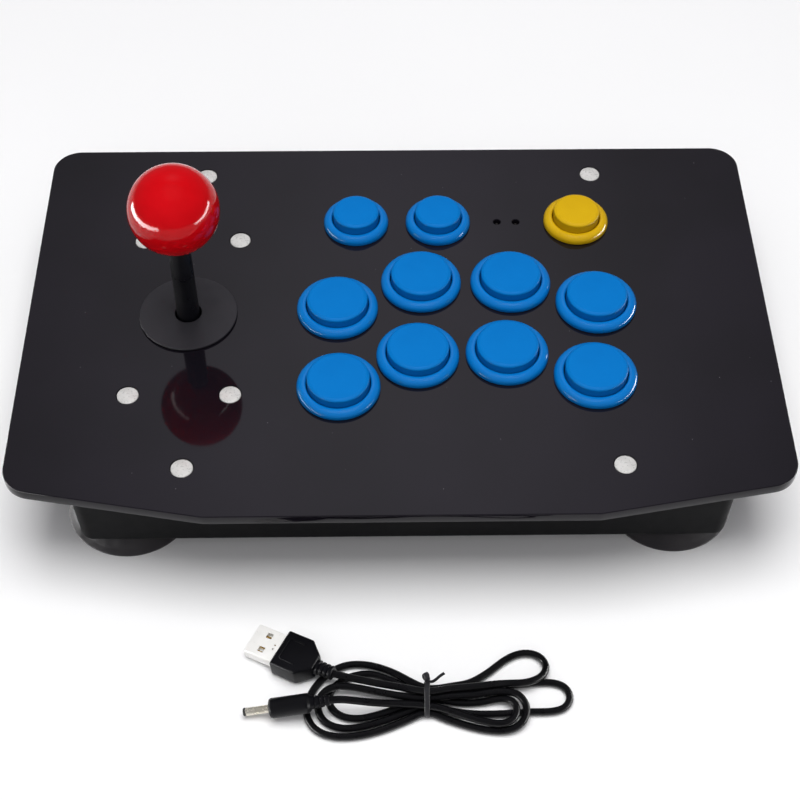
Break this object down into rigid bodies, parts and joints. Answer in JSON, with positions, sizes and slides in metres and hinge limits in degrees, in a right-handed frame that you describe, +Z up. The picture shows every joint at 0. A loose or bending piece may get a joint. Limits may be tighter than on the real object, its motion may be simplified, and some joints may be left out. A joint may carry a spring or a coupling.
{
  "type": "arcade joystick panel",
  "caption": "Tabletop arcade control panel with a ball-top lever, round push buttons, a moulded case on suction cups and a coiled charging cable.",
  "frame": {"origin": "on the table under the middle of the top panel", "axes": "+X to the player's right, along the panel's long side; +Y away from the player; +Z up"},
  "size_m": [0.3008, 0.264, 0.1254],
  "materials": {
    "panel_black": "polished acrylic",
    "case_black": "fine moulded texture",
    "screw_metal": "turned and lightly domed",
    "cup_rubber": "smooth soft rubber",
    "housing_blue": "polished moulding",
    "plunger_blue": "satin moulding",
    "housing_yellow": "polished moulding",
    "plunger_yellow": "satin moulding",
    "ball_red": "high gloss",
    "shaft_steel": "ground",
    "cover_black": "gloss",
    "washer_black": "satin",
    "plate_steel": "zinc plated",
    "mechanism_black": "moulded",
    "spring_steel": "wire",
    "actuator_white": "moulded",
    "gate_white": "moulded",
    "circuit_green": "solder mask",
    "battery_silver": "foil pouch",
    "led_smoke": "clear moulding",
    "cable_black": "satin sheath",
    "plug_metal": "bright plating",
    "barrel_metal": "bright plating",
    "tie_black": "coated wire"
  },
  "bodies": {
    "root": {"top_panel": "panel_black", "bottom_case": "case_black", "case_screw_front_left": "screw_metal", "joystick_screw_front_left": "screw_metal", "suction_cup_front_left": "cup_rubber", "case_screw_front_right": "screw_metal", "joystick_screw_front_right": "screw_metal", "suction_cup_front_right": "cup_rubber", "case_screw_back_left": "screw_metal", "joystick_screw_back_left": "screw_metal", "suction_cup_back_left": "cup_rubber", "case_screw_back_right": "screw_metal", "joystick_screw_back_right": "screw_metal", "suction_cup_back_right": "cup_rubber", "button_housing_1": "housing_blue", "button_housing_2": "housing_blue", "button_housing_3": "housing_blue", "button_housing_4": "housing_blue", "button_housing_5": "housing_blue", "button_housing_6": "housing_blue", "button_housing_7": "housing_blue", "button_housing_8": "housing_blue", "small_button_housing_1": "housing_blue", "small_button_housing_2": "housing_blue", "small_button_housing_3": "housing_yellow", "mounting_plate": "plate_steel", "lever_housing": "mechanism_black", "restrictor_gate": "gate_white", "switch_board": "circuit_green", "control_board": "circuit_green", "battery_pack": "battery_silver", "dc_jack": "mechanism_black", "status_led_1": "led_smoke", "status_led_2": "led_smoke", "usb_plug_body": "cable_black", "usb_plug_shell": "plug_metal", "dc_plug_body": "cable_black", "dc_plug_barrel": "barrel_metal", "cable_hank": "cable_black", "cable_tie": "tie_black"},
    "pivot": {"pivot_ball": "mechanism_black"},
    "lever": {"lever_ball": "ball_red", "lever_shaft": "shaft_steel", "shaft_cover": "cover_black", "actuator": "actuator_white", "return_spring": "spring_steel"},
    "lower_washer": {"lower_dust_washer": "washer_black"},
    "upper_washer": {"upper_dust_washer": "washer_black"},
    "button_1": {"button_plunger_1": "plunger_blue"},
    "button_2": {"button_plunger_2": "plunger_blue"},
    "button_3": {"button_plunger_3": "plunger_blue"},
    "button_4": {"button_plunger_4": "plunger_blue"},
    "button_5": {"button_plunger_5": "plunger_blue"},
    "button_6": {"button_plunger_6": "plunger_blue"},
    "button_7": {"button_plunger_7": "plunger_blue"},
    "button_8": {"button_plunger_8": "plunger_blue"},
    "small_button_1": {"small_button_plunger_1": "plunger_blue"},
    "small_button_2": {"small_button_plunger_2": "plunger_blue"},
    "small_button_3": {"small_button_plunger_3": "plunger_yellow"}
  },
  "joints": [
    {"name": "lever_tilt_fore_aft", "type": "hinge", "parent": "root", "child": "pivot", "pos_m": [-0.0854, 0.0016, 0.031], "axis": [1, 0, 0], "range_deg": [-8.5, 8.5], "stiffness_Nm_per_rad": 1},
    {"name": "lever_tilt_sideways", "type": "hinge", "parent": "pivot", "child": "lever", "pos_m": [-0.0854, 0.0016, 0.031], "axis": [0, 1, 0], "range_deg": [-8.5, 8.5], "stiffness_Nm_per_rad": 1},
    {"name": "washer_slide_sideways", "type": "slide", "parent": "root", "child": "lower_washer", "axis": [1, 0, 0], "range_m": [-0.0028, 0.0028]},
    {"name": "washer_slide_fore_aft", "type": "slide", "parent": "lower_washer", "child": "upper_washer", "axis": [0, 1, 0], "range_m": [-0.0028, 0.0028]},
    {"name": "button_1_press", "type": "slide", "parent": "root", "child": "button_1", "axis": [0, 0, -1], "range_m": [0, 0.0025], "stiffness_N_per_m": 300, "springref_m": -0.002},
    {"name": "button_2_press", "type": "slide", "parent": "root", "child": "button_2", "axis": [0, 0, -1], "range_m": [0, 0.0025], "stiffness_N_per_m": 300, "springref_m": -0.002},
    {"name": "button_3_press", "type": "slide", "parent": "root", "child": "button_3", "axis": [0, 0, -1], "range_m": [0, 0.0025], "stiffness_N_per_m": 300, "springref_m": -0.002},
    {"name": "button_4_press", "type": "slide", "parent": "root", "child": "button_4", "axis": [0, 0, -1], "range_m": [0, 0.0025], "stiffness_N_per_m": 300, "springref_m": -0.002},
    {"name": "button_5_press", "type": "slide", "parent": "root", "child": "button_5", "axis": [0, 0, -1], "range_m": [0, 0.0025], "stiffness_N_per_m": 300, "springref_m": -0.002},
    {"name": "button_6_press", "type": "slide", "parent": "root", "child": "button_6", "axis": [0, 0, -1], "range_m": [0, 0.0025], "stiffness_N_per_m": 300, "springref_m": -0.002},
    {"name": "button_7_press", "type": "slide", "parent": "root", "child": "button_7", "axis": [0, 0, -1], "range_m": [0, 0.0025], "stiffness_N_per_m": 300, "springref_m": -0.002},
    {"name": "button_8_press", "type": "slide", "parent": "root", "child": "button_8", "axis": [0, 0, -1], "range_m": [0, 0.0025], "stiffness_N_per_m": 300, "springref_m": -0.002},
    {"name": "small_button_1_press", "type": "slide", "parent": "root", "child": "small_button_1", "axis": [0, 0, -1], "range_m": [0, 0.0025], "stiffness_N_per_m": 300, "springref_m": -0.002},
    {"name": "small_button_2_press", "type": "slide", "parent": "root", "child": "small_button_2", "axis": [0, 0, -1], "range_m": [0, 0.0025], "stiffness_N_per_m": 300, "springref_m": -0.002},
    {"name": "small_button_3_press", "type": "slide", "parent": "root", "child": "small_button_3", "axis": [0, 0, -1], "range_m": [0, 0.0025], "stiffness_N_per_m": 300, "springref_m": -0.002}
  ],
  "couplings": [
    {"joint": "washer_slide_sideways", "follows": "lever_tilt_sideways", "m_per_rad": 0.0183},
    {"joint": "washer_slide_fore_aft", "follows": "lever_tilt_fore_aft", "m_per_rad": -0.0183}
  ]
}
